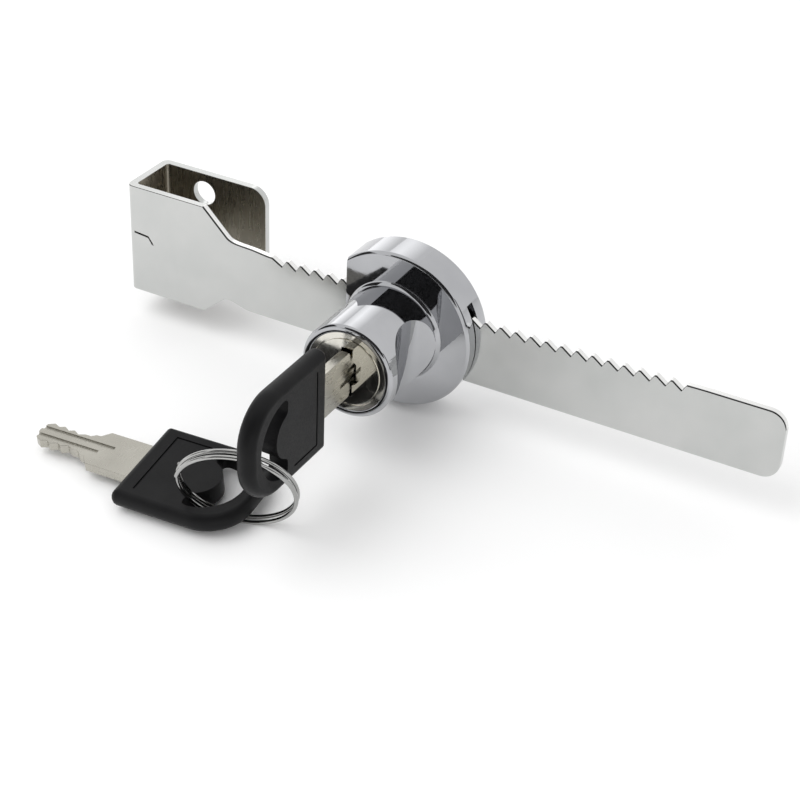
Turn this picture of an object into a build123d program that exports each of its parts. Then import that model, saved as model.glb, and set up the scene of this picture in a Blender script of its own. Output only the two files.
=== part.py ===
from build123d import *
from math import cos, sin, radians, pi
import os

os.makedirs("parts", exist_ok=True)

# Millimetres. X runs along the strip to its free tip, Z points the way the teeth do,
# and the keyhole faces -Y. The origin is the centre of the flange's rear face, on the glass.

# Ratchet strip
STRIP_T = 1.5
STRIP_Y = -4.4
TOOTH_PITCH = 3.0
FIRST_VALLEY_X = -25.68
TOOTH_COUNT = 28
VALLEY_Z = 4.15
PEAK_Z = 5.5
PEAK_X = 1.02
PEAK_FLAT = 0.2
TIP_START_X = 59.7
TIP_END_X = 74.5
TIP_TOP_Z = 5.56
STRIP_BOTTOM_Z = -7.8
TIP_R = 3.3

# Hook that holds the fixed glass
HOOK_X = -61.3
HOOK_TOP_Z = 12.0
HOOK_BOTTOM_Z = -10.9
HOOK_GAP = 10.5
HOOK_REAR_X = -36.9
HOOK_CORNER_R = 3.5
BEND_R = 1.5
LEG_TOP_END_X = -43.5
LEG_NECK_TOP = ((-38.3, 6.9), (-33.0, 5.9), (-27.9, 5.44))
LEG_NECK_LOW = (-38.9, -6.9)
LEG_LOW_STRIP_X = -32.7
LEG_LOW_END_X = -43.6
HOLE_X = -51.2
HOLE_Z = 7.75
HOLE_R = 2.5
BARB_X = -55.3
BARB_Z = 0.27
BARB_DROP = 3.2
BARB_PUSH = 1.1
BARB_SLIT = 0.35
SLIT_BEND = (-56.5, 1.9)
SLIT_ROOT_Z = 2.2

# Lock body
FLANGE_R = 15.75
FLANGE_T = 7.1
BARREL_R = 9.25
BARREL_END_Y = -24.1
BASE_CHAMFER = 0.6
RIM_CHAMFER = 0.45
FLANGE_CHAMFER = 0.5
SCALLOP_R = 9.5
SCALLOP_BOTTOM_X = 6.0
SCALLOP_Y = -14.9
SLOT_Y = (-4.6, -2.7)
SLOT_BOTTOM_Z = -8.0
SLOT_TOP_Z = 8.0
FACE_SEAT_R = 7.85
FACE_SEAT_T = 2.2
BORE_R = 5.05
BORE_END_Y = -8.6
TAIL_BORE_R = 3.35
CAVITY_FRONT_Y = -6.6
CAVITY_R = 6.6
POCKET_HALF_W = 3.35
POCKET_WALL = 2.15
POCKET_TOP_Z = FLANGE_R - POCKET_WALL
BROACH_R = 5.5
BROACH_HALF_W = 2.6
BROACH_FRONT_Y = -21.7

# Rear cover and its screws
COVER_RIM = 1.55
COVER_R = FLANGE_R - COVER_RIM
COVER_T = 1.0
COVER_PLAY = 0.1
SCREW_INSET = 3.55
SCREW_CIRCLE_R = FLANGE_R - SCREW_INSET
SCREW_START = 0.0
SCREW_COUNT = 3
SCREW_HEAD_R = 1.6
SCREW_R = 0.9
SCREW_LENGTH = 2.6
SCREW_PLAY = 0.1
FLAT_WALL = 0.75
COVER_FLAT_X = -(SCREW_CIRCLE_R * cos(radians(180 / SCREW_COUNT)) + SCREW_HEAD_R + FLAT_WALL)
FLANGE_FLAT_X = COVER_FLAT_X - COVER_RIM

# Plug
PLUG_FACE_R = 7.8
PLUG_R = 5.0
PLUG_FRONT_Y = -24.0
PLUG_BODY_Y = -22.0
PLUG_SHOULDER_Y = -8.7
TAIL_R = 3.3
SQUARE = 4.4
SQUARE_END_Y = -5.75
KEYWAY_W = 2.3
KEYWAY_H = 6.7
KEY_ENTRY_H = 9.7
KEY_ENTRY_DEPTH = 2.6
KEYWAY_END_Y = -11.2
DIMPLE_R = 2.75
DIMPLE_DEPTH = 1.4
RING_GROOVE_R = (6.9, 6.5)
RING_GROOVE_DEPTH = 0.25
TAP_R = 1.15
TAP_DEPTH = 4.0

# Wafers and their springs
WAFER_Y = (-20.9, -18.9, -16.9, -14.9, -12.9)
WAFER_T = 1.1
WAFER_SLOT_T = 1.3
WAFER_W = 4.6
WAFER_END_R = 4.85
WAFER_PLAY = 0.06
WINDOW_W = 2.5
WINDOW_H = 6.9
LUG_X = 3.75
LUG_Z = (0.6, 1.6)
LUG_SLOT_X = 4.1
LUG_SLOT_Z = (-0.9, 3.5)
WSPRING_X = 3.1
WSPRING_R = 0.42
WSPRING_WIRE_R = 0.1
WSPRING_Z = (1.75, 3.35)
WSPRING_TURNS = 2
SPRING_WIRE_SIDES = 6

# Cam and pawl
CAM_Y = (-6.45, -4.75)
CAM_HIGH_R = 5.3
CAM_DROP = 1.7
CAM_LEAD = 15.0
PLUG_TURN = 90.0
CAM_STEPS = 8
CAM_TOP = 90.0
CAM_SEAT_R = 2.75
CAM_SEAT_T = 1.0
CAM_PLAY = 0.06
CAM_SCREW_HEAD_R = 2.6
CAM_SCREW_HEAD_T = 0.8
CAM_SCREW_R = 1.15
CAM_SCREW_LENGTH = 3.4
PAWL_HALF_W = 3.2
PAWL_GAP = 0.12
PAWL_LIFT = 1.7
PAWL_TOP_Z = 10.2
PAWL_Y = (-4.5, -2.9)
PAWL_LUG_Y = (-6.4, -4.5)
PAWL_LUG_HALF_W = 1.5
PAWL_LUG_BOTTOM_Z = 5.55
PSPRING_Y = -3.65
PSPRING_R = 0.5
PSPRING_WIRE_R = 0.15
PSPRING_END_GAP = 0.16
PSPRING_Z = (PAWL_TOP_Z + PSPRING_END_GAP, POCKET_TOP_Z - PSPRING_END_GAP)
PSPRING_TURNS = 3

# Keys
KEY_FRONT_Y = -33.5
HEAD_L = 24.4
HEAD_W = 20.4
HEAD_T = 3.7
HEAD_NEAR_R = 1.2
HEAD_END_FLAT = 3.4
HEAD_FAR_R = (HEAD_W - HEAD_END_FLAT) / 2
HEAD_CHAMFER = 1.1
LINE_INSET = 2.6
LINE_TURN_L = 7.5
LINE_AT = 3.5
LINE_W = 0.4
LINE_DEPTH = 0.25
HOLE_FROM_END = 10.4
HOLE_OUTER_S = HEAD_L - HOLE_FROM_END
HOLE_OUTER_R = 7.6
TONGUE_BACK = 1.8
TONGUE_S = HOLE_OUTER_S - TONGUE_BACK
TONGUE_R = 4.6
HOLE_START_BACK = 0.8
HOLE_END_R = 0.7
HOLE_START_S = HOLE_OUTER_S - HOLE_START_BACK
BLADE_T = 1.8
BLADE_BASE_H = 9.2
BLADE_BASE_L = 8.7
BLADE_H = 6.0
BLADE_NARROW_S = 10.1
BLADE_END_S = 21.5
BLADE_ROOT = 6.0
BLADE_GROOVE_W = 0.8
BLADE_GROOVE_DEPTH = 0.35
BLADE_GROOVES = ((5.9, 0.95), (8.3, -1.05))
BITTING = ((11.0, 2.9), (11.8, 2.25), (13.0, 2.25), (14.2, 1.7), (15.4, 2.4), (16.4, 1.9),
           (17.6, 2.6), (18.6, 2.1), (19.8, 2.6), (21.0, 1.9))

# Spare key and split ring, as they lie in front of the lock
RING_FROM_HOLE = (-5.968, -3.092, -11.176)
RING_NORMAL = (0.3102, -0.878, -0.3628)
SPARE_HOLE_FROM_RING = (-9.840, 5.246, -6.681)
SPARE_AXIS = (0.9988, 0.0488, 0.0109)
SPARE_NORMAL = (-0.005, -0.126, 0.992)
RING_R = 10.48
RING_WIRE_R = 0.4
RING_STEP = 1.24
RING_START_DEG = 155.4
RING_TURNS = 2
RING_WIRE_SIDES = 10


def tooth_line(x0, x1):
    """Points of the tooth row from x0 to x1, left to right."""
    points = []
    for n in range(TOOTH_COUNT + 1):
        valley = FIRST_VALLEY_X + n * TOOTH_PITCH
        for x, z in ((valley, VALLEY_Z), (valley + PEAK_X - PEAK_FLAT, PEAK_Z),
                     (valley + PEAK_X + PEAK_FLAT, PEAK_Z)):
            if x0 <= x <= x1:
                points.append((x, z))
    return points


def height_on(points, x):
    """Height of a left-to-right line of points at x."""
    for (xa, za), (xb, zb) in zip(points, points[1:]):
        if xa <= x <= xb:
            return za + (zb - za) * (x - xa) / (xb - xa)
    return points[-1][1]


def biarc_path(points, tangents):
    """One smooth wire of arcs through the points: each span is two arcs that meet in tangent."""
    edges = []
    for p0, p1, t0, t1 in zip(points, points[1:], tangents, tangents[1:]):
        v = p1 - p0
        a = 2 * (t0.dot(t1) - 1)
        b = -2 * v.dot(t0 + t1)
        c = v.dot(v)
        d = (-b - (b * b - 4 * a * c) ** 0.5) / (2 * a)
        near = p0 + t0 * d
        far = p1 - t1 * d
        joint = (near + far) * 0.5
        edges.append(Edge.make_tangent_arc(p0, t0, joint))
        edges.append(Edge.make_tangent_arc(joint, far - near, p1))
    return Wire(edges)


def coil_path(frame, radius, pitch, turns, start_deg=0.0, spans_per_turn=4):
    """Helix about the frame's own Z, as biarcs."""
    points, tangents = [], []
    for k in range(int(turns * spans_per_turn) + 1):
        a = radians(start_deg) + k * 2 * pi / spans_per_turn
        rise = pitch * k / spans_per_turn
        points.append(frame.from_local_coords(Vector(radius * cos(a), radius * sin(a), rise)))
        flat = frame.x_dir * -sin(a) + frame.y_dir * cos(a)
        tangents.append((flat * radius + frame.z_dir * (pitch / (2 * pi))).normalized())
    return biarc_path(points, tangents)


def across(y):
    """Sketch plane at y, seen from the front, that extrudes towards the keyhole."""
    return Plane(origin=(0, y, 0), x_dir=(1, 0, 0), z_dir=(0, -1, 0))


# Toothed strip and its front leg, drawn in one outline
leg_y = STRIP_Y + STRIP_T
rear_y = leg_y + HOOK_GAP
teeth = tooth_line(FIRST_VALLEY_X - PEAK_FLAT, TIP_START_X - TOOTH_PITCH / 2)
with BuildPart() as ratchet_strip:
    with BuildSketch(across(leg_y)):
        with BuildLine():
            Polyline((HOOK_X, HOOK_BOTTOM_Z), (HOOK_X, HOOK_TOP_Z), (LEG_TOP_END_X, HOOK_TOP_Z),
                     LEG_NECK_TOP[0])
            Spline(*LEG_NECK_TOP, tangents=((1, -1), (1, 0)))
            Polyline(LEG_NECK_TOP[-1], *teeth, (TIP_START_X, TIP_TOP_Z),
                     (TIP_END_X, TIP_TOP_Z), (TIP_END_X, STRIP_BOTTOM_Z),
                     (LEG_LOW_STRIP_X, STRIP_BOTTOM_Z))
            Spline((LEG_LOW_STRIP_X, STRIP_BOTTOM_Z), LEG_NECK_LOW, tangents=((-1, 0), (-2, -1)))
            Polyline(LEG_NECK_LOW, (LEG_LOW_END_X, HOOK_BOTTOM_Z), (HOOK_X, HOOK_BOTTOM_Z))
        make_face()
    extrude(amount=STRIP_T)
    tip = ratchet_strip.edges().filter_by(Axis.Y).filter_by_position(
        Axis.X, TIP_END_X - TOOTH_PITCH, TIP_END_X)
    fillet(tip, radius=TIP_R)
    # Web across the glass edge
    with BuildSketch(Plane.XY.offset(HOOK_BOTTOM_Z)):
        with Locations((HOOK_X, STRIP_Y)):
            Rectangle(STRIP_T, STRIP_T + HOOK_GAP + STRIP_T, align=(Align.MIN, Align.MIN))
    extrude(amount=HOOK_TOP_Z - HOOK_BOTTOM_Z)
    # Rear leg with the screw hole
    with BuildSketch(across(rear_y + STRIP_T)):
        with Locations((HOOK_X, HOOK_BOTTOM_Z)):
            Rectangle(HOOK_REAR_X - HOOK_X, HOOK_TOP_Z - HOOK_BOTTOM_Z,
                      align=(Align.MIN, Align.MIN))
        with Locations((HOLE_X, HOLE_Z)):
            Circle(HOLE_R, mode=Mode.SUBTRACT)
    extrude(amount=STRIP_T)
    free = ratchet_strip.edges().filter_by(Axis.Y).filter_by_position(
        Axis.X, HOOK_REAR_X - STRIP_T, HOOK_REAR_X + STRIP_T).filter_by_position(
        Axis.Y, rear_y, rear_y + STRIP_T)
    fillet(free, radius=HOOK_CORNER_R)
    bends = ratchet_strip.edges().filter_by(Axis.Z).filter_by_position(
        Axis.X, HOOK_X - BARB_SLIT, HOOK_X + BARB_SLIT)
    fillet(bends, radius=BEND_R)
    inner = ratchet_strip.edges().filter_by(Axis.Z).filter_by_position(
        Axis.X, HOOK_X + STRIP_T - BARB_SLIT, HOOK_X + STRIP_T + BARB_SLIT)
    fillet(inner, radius=BEND_R / 2)
    # Slit above the pressed-in barb, and the barb itself
    with BuildSketch(across(leg_y)):
        with BuildLine():
            Polyline((HOOK_X + STRIP_T, SLIT_ROOT_Z), SLIT_BEND, (BARB_X, BARB_Z),
                     (BARB_X - BARB_SLIT, BARB_Z), (SLIT_BEND[0], SLIT_BEND[1] - BARB_SLIT),
                     (HOOK_X + STRIP_T, SLIT_ROOT_Z - BARB_SLIT), close=True)
        make_face()
    extrude(amount=STRIP_T, mode=Mode.SUBTRACT)
    with BuildSketch(Plane.XY.offset(BARB_Z - BARB_DROP)):
        with BuildLine():
            Polyline((HOOK_X + STRIP_T * 2, leg_y), (BARB_X, leg_y),
                     (BARB_X - STRIP_T, leg_y + BARB_PUSH / 2),
                     (HOOK_X + STRIP_T * 2, leg_y + BARB_PUSH / 4), close=True)
        make_face()
    extrude(amount=BARB_DROP)

# Lock body: flange and barrel in one casting
with BuildPart() as lock_body:
    with BuildSketch(Plane.XY) as profile:
        with BuildLine():
            Polyline((0, 0), (FLANGE_R, 0), (FLANGE_R, -FLANGE_T), (BARREL_R, -FLANGE_T),
                     (BARREL_R, BARREL_END_Y), (0, BARREL_END_Y), close=True)
        make_face()
        rim = profile.vertices().group_by(Axis.Y)[0].sort_by(Axis.X)[-1]
        base, edge = profile.vertices().group_by(Axis.Y)[1].sort_by(Axis.X)
        chamfer(rim, length=RIM_CHAMFER)
        chamfer(base, length=BASE_CHAMFER)
        chamfer(edge, length=FLANGE_CHAMFER)
    revolve(axis=Axis.Y)
    # Flat on the hook's side of the flange
    with BuildSketch(across(0)):
        with Locations((FLANGE_FLAT_X, 0)):
            Rectangle(FLANGE_R, 2 * FLANGE_R, align=(Align.MAX, Align.CENTER))
    extrude(amount=FLANGE_T, mode=Mode.SUBTRACT)
    # Finger scallops on both sides of the barrel
    with BuildSketch(Plane.XY.offset(-FLANGE_R)):
        with Locations((SCALLOP_BOTTOM_X + SCALLOP_R, SCALLOP_Y),
                       (-SCALLOP_BOTTOM_X - SCALLOP_R, SCALLOP_Y)):
            Circle(SCALLOP_R)
        with Locations((0, -FLANGE_T)):
            Rectangle(4 * FLANGE_R, 2 * FLANGE_R, align=(Align.CENTER, Align.MAX),
                      mode=Mode.INTERSECT)
    extrude(amount=2 * FLANGE_R, mode=Mode.SUBTRACT)
    # Slot for the strip, right across the flange
    with BuildSketch(across(SLOT_Y[1])):
        with Locations((0, SLOT_BOTTOM_Z)):
            Rectangle(2 * FLANGE_R + TOOTH_PITCH, SLOT_TOP_Z - SLOT_BOTTOM_Z,
                      align=(Align.CENTER, Align.MIN))
    extrude(amount=SLOT_Y[1] - SLOT_Y[0], mode=Mode.SUBTRACT)
    # Seat, bore and tail hole for the plug, then the cam's room
    with BuildSketch(across(BARREL_END_Y + FACE_SEAT_T)):
        Circle(FACE_SEAT_R)
    extrude(amount=FACE_SEAT_T, mode=Mode.SUBTRACT)
    with BuildSketch(across(BORE_END_Y)):
        Circle(BORE_R)
    extrude(amount=BORE_END_Y - BARREL_END_Y, mode=Mode.SUBTRACT)
    with BuildSketch(across(SLOT_Y[0])):
        Circle(TAIL_BORE_R)
    extrude(amount=SLOT_Y[0] - BORE_END_Y, mode=Mode.SUBTRACT)
    with BuildSketch(across(SLOT_Y[0])):
        Circle(CAVITY_R)
        with Locations((0, POCKET_TOP_Z / 2)):
            Rectangle(2 * POCKET_HALF_W, POCKET_TOP_Z)
    extrude(amount=SLOT_Y[0] - CAVITY_FRONT_Y, mode=Mode.SUBTRACT)
    with BuildSketch(across(SLOT_Y[1])):
        with Locations((0, POCKET_TOP_Z / 2)):
            Rectangle(2 * POCKET_HALF_W, POCKET_TOP_Z)
    extrude(amount=SLOT_Y[1] - SLOT_Y[0], mode=Mode.SUBTRACT)
    # Four grooves that take the wafers' ends
    with BuildSketch(across(KEYWAY_END_Y)):
        Circle(BROACH_R)
        with BuildSketch(mode=Mode.INTERSECT):
            Rectangle(2 * BROACH_R, 2 * BROACH_HALF_W)
            Rectangle(2 * BROACH_HALF_W, 2 * BROACH_R)
    extrude(amount=KEYWAY_END_Y - BROACH_FRONT_Y, mode=Mode.SUBTRACT)
    # Recess for the rear cover, and its screw holes
    with BuildSketch(across(0)):
        Circle(COVER_R + COVER_PLAY)
        with Locations((COVER_FLAT_X - COVER_PLAY, 0)):
            Rectangle(FLANGE_R, 2 * FLANGE_R, align=(Align.MAX, Align.CENTER), mode=Mode.SUBTRACT)
    extrude(amount=COVER_T, mode=Mode.SUBTRACT)
    with BuildSketch(across(0)):
        with PolarLocations(SCREW_CIRCLE_R, SCREW_COUNT, start_angle=SCREW_START):
            Circle(SCREW_R)
    extrude(amount=SCREW_LENGTH, mode=Mode.SUBTRACT)

# Rear cover, flush with the flange's glass face
with BuildPart() as rear_cover:
    with BuildSketch(across(0)):
        Circle(COVER_R)
        with Locations((COVER_FLAT_X, 0)):
            Rectangle(FLANGE_R, 2 * FLANGE_R, align=(Align.MAX, Align.CENTER), mode=Mode.SUBTRACT)
    extrude(amount=COVER_T)
    with Locations(Plane(origin=(0, 0, 0), x_dir=(1, 0, 0), z_dir=(0, 1, 0))):
        with PolarLocations(SCREW_CIRCLE_R, SCREW_COUNT, start_angle=-SCREW_START):
            CounterSinkHole(SCREW_R + SCREW_PLAY, SCREW_HEAD_R + SCREW_PLAY, depth=COVER_T)

# Three countersunk screws
with BuildPart() as cover_screws:
    for k in range(SCREW_COUNT):
        a = radians(SCREW_START + k * 360 / SCREW_COUNT)
        foot = (SCREW_CIRCLE_R * cos(a), 0, SCREW_CIRCLE_R * sin(a))
        with BuildSketch(Plane(origin=foot, x_dir=(1, 0, 0), z_dir=(0, 0, 1))):
            with BuildLine():
                Polyline((0, 0), (SCREW_HEAD_R, 0), (SCREW_R, SCREW_R - SCREW_HEAD_R),
                         (SCREW_R, -SCREW_LENGTH), (0, -SCREW_LENGTH), close=True)
            make_face()
        revolve(axis=Axis(foot, (0, 1, 0)))

# Plug
with BuildPart() as plug:
    with BuildSketch(Plane.XY):
        with BuildLine():
            Polyline((0, PLUG_FRONT_Y), (PLUG_FACE_R, PLUG_FRONT_Y), (PLUG_FACE_R, PLUG_BODY_Y),
                     (PLUG_R, PLUG_BODY_Y), (PLUG_R, PLUG_SHOULDER_Y),
                     (TAIL_R, PLUG_SHOULDER_Y), (TAIL_R, CAVITY_FRONT_Y), (0, CAVITY_FRONT_Y), close=True)
        make_face()
    revolve(axis=Axis.Y)
    with BuildSketch(across(SQUARE_END_Y)):
        Rectangle(SQUARE, SQUARE)
    extrude(amount=SQUARE_END_Y - CAVITY_FRONT_Y)
    with BuildSketch(across(PLUG_FRONT_Y + RING_GROOVE_DEPTH)):
        Circle(RING_GROOVE_R[0])
        Circle(RING_GROOVE_R[1], mode=Mode.SUBTRACT)
    extrude(amount=RING_GROOVE_DEPTH, mode=Mode.SUBTRACT)
    with BuildSketch(across(PLUG_FRONT_Y + DIMPLE_DEPTH)):
        Circle(DIMPLE_R)
    extrude(amount=DIMPLE_DEPTH, mode=Mode.SUBTRACT)
    with BuildSketch(across(PLUG_FRONT_Y + KEY_ENTRY_DEPTH)):
        Rectangle(KEYWAY_W, KEY_ENTRY_H)
    extrude(amount=KEY_ENTRY_DEPTH, mode=Mode.SUBTRACT)
    with BuildSketch(across(KEYWAY_END_Y)):
        Rectangle(KEYWAY_W, KEYWAY_H)
    extrude(amount=KEYWAY_END_Y - PLUG_FRONT_Y, mode=Mode.SUBTRACT)
    for k, y in enumerate(WAFER_Y):
        side = 1 - 2 * (k % 2)
        low, high = sorted((side * LUG_SLOT_Z[0], side * LUG_SLOT_Z[1]))
        with BuildSketch(across(y + WAFER_SLOT_T / 2)):
            Rectangle(WAFER_W + 2 * WAFER_PLAY, 2 * BROACH_R)
            with Locations((side * LUG_SLOT_X / 2, (low + high) / 2)):
                Rectangle(LUG_SLOT_X, high - low)
        extrude(amount=WAFER_SLOT_T, mode=Mode.SUBTRACT)
    with BuildSketch(across(SQUARE_END_Y)):
        Circle(TAP_R)
    extrude(amount=TAP_DEPTH, mode=Mode.SUBTRACT)

# Cam: a spiral that lifts the pawl as the plug turns
with BuildPart() as cam:
    with BuildSketch(across(CAM_Y[1])):
        with BuildLine():
            spiral = []
            for k in range(CAM_STEPS + 1):
                turn = -CAM_LEAD + k * (PLUG_TURN + 2 * CAM_LEAD) / CAM_STEPS
                r = CAM_HIGH_R - CAM_DROP * turn / PLUG_TURN
                r = min(r, CAM_HIGH_R)
                a = radians(CAM_TOP + turn)
                spiral.append((r * cos(a), r * sin(a)))
            Spline(*spiral)
            back = [spiral[-1]]
            for k in range(1, CAM_STEPS):
                share = k / CAM_STEPS
                last = CAM_TOP + PLUG_TURN + CAM_LEAD
                a = radians(last + share * (360.0 - PLUG_TURN - 2 * CAM_LEAD))
                r = CAM_HIGH_R - CAM_DROP * (PLUG_TURN + CAM_LEAD) / PLUG_TURN * (1 - share)
                r = min(r, CAM_HIGH_R)
                back.append((r * cos(a), r * sin(a)))
            Spline(*back, spiral[0])
        make_face()
        Rectangle(SQUARE + 2 * CAM_PLAY, SQUARE + 2 * CAM_PLAY, mode=Mode.SUBTRACT)
    extrude(amount=CAM_Y[1] - CAM_Y[0])
    with BuildSketch(across(CAM_Y[1])):
        Circle(CAM_SEAT_R)
    extrude(amount=CAM_SEAT_T, mode=Mode.SUBTRACT)

# Cam screw: its head clamps the cam on the square
with BuildPart() as cam_screw:
    with BuildSketch(across(SQUARE_END_Y)):
        Circle(CAM_SCREW_R)
    extrude(amount=CAM_SCREW_LENGTH)
    with BuildSketch(across(SQUARE_END_Y + CAM_SCREW_HEAD_T)):
        Circle(CAM_SCREW_HEAD_R)
    extrude(amount=CAM_SCREW_HEAD_T)

# Pawl: teeth that match the strip, and a lug on the cam. It is drawn lifted, lock open.
pawl_teeth = tooth_line(-PAWL_HALF_W - TOOTH_PITCH, PAWL_HALF_W + TOOTH_PITCH)
lift = PAWL_GAP + PAWL_LIFT
ends = [(x, height_on(pawl_teeth, x) + lift) for x in (-PAWL_HALF_W, PAWL_HALF_W)]
between = [(x, z + lift) for x, z in pawl_teeth if -PAWL_HALF_W < x < PAWL_HALF_W]
with BuildPart() as pawl:
    with BuildSketch(across(PAWL_Y[1])):
        with BuildLine():
            Polyline(ends[0], *between, ends[1], (PAWL_HALF_W, PAWL_TOP_Z),
                     (-PAWL_HALF_W, PAWL_TOP_Z), close=True)
        make_face()
    extrude(amount=PAWL_Y[1] - PAWL_Y[0])
    with BuildSketch(across(PAWL_LUG_Y[1])):
        with Locations((0, PAWL_LUG_BOTTOM_Z + PAWL_GAP)):
            Rectangle(2 * PAWL_LUG_HALF_W, PAWL_TOP_Z - PAWL_LUG_BOTTOM_Z - PAWL_GAP,
                      align=(Align.CENTER, Align.MIN))
    extrude(amount=PAWL_LUG_Y[1] - PAWL_LUG_Y[0])

# Pawl spring, one unbroken wire
spring_frame = Plane(origin=(0, PSPRING_Y, PSPRING_Z[0]), x_dir=(1, 0, 0), z_dir=(0, 0, 1))
spring_pitch = (PSPRING_Z[1] - PSPRING_Z[0]) / PSPRING_TURNS
with BuildPart() as pawl_spring:
    wire = coil_path(spring_frame, PSPRING_R, spring_pitch, PSPRING_TURNS)
    with BuildSketch(Plane(origin=wire @ 0, z_dir=wire % 0)):
        RegularPolygon(PSPRING_WIRE_R, SPRING_WIRE_SIDES)
    sweep(path=wire)

# Wafers: slotted plates that slide in the plug, every second one turned over
wafers = []
for k, y in enumerate(WAFER_Y):
    side = 1 - 2 * (k % 2)
    with BuildPart() as wafer:
        with BuildSketch(across(y + WAFER_T / 2)):
            Circle(WAFER_END_R)
            Rectangle(WAFER_W, 2 * WAFER_END_R, mode=Mode.INTERSECT)
            Rectangle(WINDOW_W, WINDOW_H, mode=Mode.SUBTRACT)
            with Locations((side * (WAFER_W / 2 + LUG_X) / 2, side * (LUG_Z[0] + LUG_Z[1]) / 2)):
                Rectangle(LUG_X - WAFER_W / 2, LUG_Z[1] - LUG_Z[0])
        extrude(amount=WAFER_T)
    wafer.part.label = f"wafer_{k + 1}"
    wafers.append(wafer.part)

# Their springs, one small coil on each lug
coils = []
for k, y in enumerate(WAFER_Y):
    side = 1 - 2 * (k % 2)
    foot = Plane(origin=(side * WSPRING_X, y, side * WSPRING_Z[0]), x_dir=(1, 0, 0),
                 z_dir=(0, 0, side))
    wspring_pitch = (WSPRING_Z[1] - WSPRING_Z[0]) / WSPRING_TURNS
    with BuildPart() as coil:
        wire = coil_path(foot, WSPRING_R, wspring_pitch, WSPRING_TURNS)
        with BuildSketch(Plane(origin=wire @ 0, z_dir=wire % 0)):
            RegularPolygon(WSPRING_WIRE_R, SPRING_WIRE_SIDES)
        sweep(path=wire)
    coils.append(coil.part)
wafer_springs = Compound(label="wafer_springs", children=coils)


def head_solid(frame):
    """Moulded head with a rounded rim, thin panels, a line and the crescent hole."""
    with BuildPart() as head:
        with BuildSketch(Plane.XY.offset(-HEAD_T / 2)):
            with BuildLine():
                Polyline((HEAD_L - HEAD_FAR_R, HEAD_W / 2), (HEAD_NEAR_R, HEAD_W / 2))
                RadiusArc((HEAD_NEAR_R, HEAD_W / 2), (0, HEAD_W / 2 - HEAD_NEAR_R), -HEAD_NEAR_R)
                Line((0, HEAD_W / 2 - HEAD_NEAR_R), (0, HEAD_NEAR_R - HEAD_W / 2))
                RadiusArc((0, HEAD_NEAR_R - HEAD_W / 2), (HEAD_NEAR_R, -HEAD_W / 2), -HEAD_NEAR_R)
                Line((HEAD_NEAR_R, -HEAD_W / 2), (HEAD_L - HEAD_FAR_R, -HEAD_W / 2))
                RadiusArc((HEAD_L - HEAD_FAR_R, -HEAD_W / 2), (HEAD_L, HEAD_FAR_R - HEAD_W / 2),
                          -HEAD_FAR_R)
                Line((HEAD_L, HEAD_FAR_R - HEAD_W / 2), (HEAD_L, HEAD_W / 2 - HEAD_FAR_R))
                RadiusArc((HEAD_L, HEAD_W / 2 - HEAD_FAR_R), (HEAD_L - HEAD_FAR_R, HEAD_W / 2),
                          -HEAD_FAR_R)
            make_face()
        extrude(amount=HEAD_T)
        chamfer(head.faces().filter_by(Axis.Z).edges(), length=HEAD_CHAMFER)
        # Crescent hole around a tongue
        with BuildSketch(Plane.XY.offset(-HEAD_T)):
            with Locations((HOLE_OUTER_S, 0)):
                Circle(HOLE_OUTER_R)
            with Locations((TONGUE_S, 0)):
                Circle(TONGUE_R, mode=Mode.SUBTRACT)
            with Locations((HOLE_START_S, 0)):
                Rectangle(HEAD_L, HEAD_W, align=(Align.MAX, Align.CENTER), mode=Mode.SUBTRACT)
            fillet(vertices(), radius=HOLE_END_R)
        extrude(amount=2 * HEAD_T, mode=Mode.SUBTRACT)
        # Line across both faces near the front edge
        for face_z in (HEAD_T / 2, LINE_DEPTH - HEAD_T / 2):
            with BuildSketch(Plane.XY.offset(face_z - LINE_DEPTH)):
                with Locations((LINE_AT, HEAD_W / 2 - LINE_INSET)):
                    Rectangle(LINE_W, HEAD_W - 2 * LINE_INSET, align=(Align.MIN, Align.MAX))
                    Rectangle(LINE_TURN_L, LINE_W, align=(Align.MIN, Align.MAX))
            extrude(amount=LINE_DEPTH, mode=Mode.SUBTRACT)
        # Pocket for the blade's root
        with BuildSketch(Plane.YZ):
            Rectangle(BLADE_BASE_H, BLADE_T)
        extrude(amount=BLADE_ROOT, mode=Mode.SUBTRACT)
    return head.part.moved(frame.location)


def blade_solid(frame):
    """Nickel blade with cuts on both edges and grooves on both faces."""
    upper = [(-BLADE_BASE_L, BLADE_BASE_H / 2), (-BLADE_NARROW_S, BLADE_H / 2)]
    upper += [(-s, z) for s, z in BITTING]
    lower = [(s, -z) for s, z in reversed(upper)]
    with BuildPart() as blade:
        with BuildSketch(Plane.XY.offset(-BLADE_T / 2)):
            with BuildLine():
                Polyline((BLADE_ROOT, -BLADE_BASE_H / 2), (BLADE_ROOT, BLADE_BASE_H / 2), *upper,
                         (-BLADE_END_S, 0), *lower, (BLADE_ROOT, -BLADE_BASE_H / 2))
            make_face()
        extrude(amount=BLADE_T)
        for face_z, side in ((BLADE_T / 2 - BLADE_GROOVE_DEPTH, 1), (-BLADE_T / 2, -1)):
            with BuildSketch(Plane.XY.offset(face_z)):
                for end_s, groove_z in BLADE_GROOVES:
                    with Locations((-end_s, side * groove_z)):
                        Rectangle(BLADE_END_S, BLADE_GROOVE_W, align=(Align.MAX, Align.CENTER))
            extrude(amount=BLADE_GROOVE_DEPTH, mode=Mode.SUBTRACT)
    return blade.part.moved(frame.location)


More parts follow.
